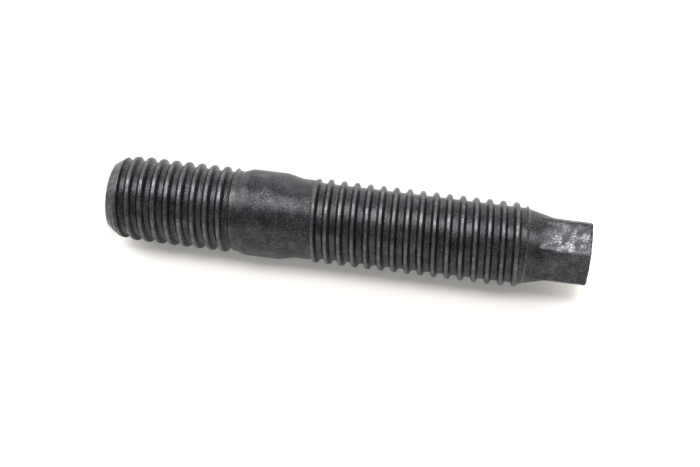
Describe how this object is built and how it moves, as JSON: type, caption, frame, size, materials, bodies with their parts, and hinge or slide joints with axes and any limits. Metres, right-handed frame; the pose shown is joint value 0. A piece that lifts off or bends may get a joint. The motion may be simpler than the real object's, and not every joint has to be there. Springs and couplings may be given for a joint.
{
  "type": "threaded stud",
  "caption": "Steel collar stud with a short tap-end thread, a plain rounded collar, a longer nut-end thread and a tapered hexagonal drive end.",
  "frame": {"origin": "centre of the flat tap-end face, on the surface that the stud stands on", "axes": "+Z along the stud's axis, from the tap end to the hexagonal drive end; one corner of the hexagon faces -Y"},
  "size_m": [0.0082, 0.0082, 0.0452],
  "materials": {
    "phosphated_steel": "dark phosphate over steel, satin, worn brighter on the thread crests and the upper faces of the drive end"
  },
  "bodies": {
    "root": {"threaded_stud": "phosphated_steel"}
  },
  "joints": []
}
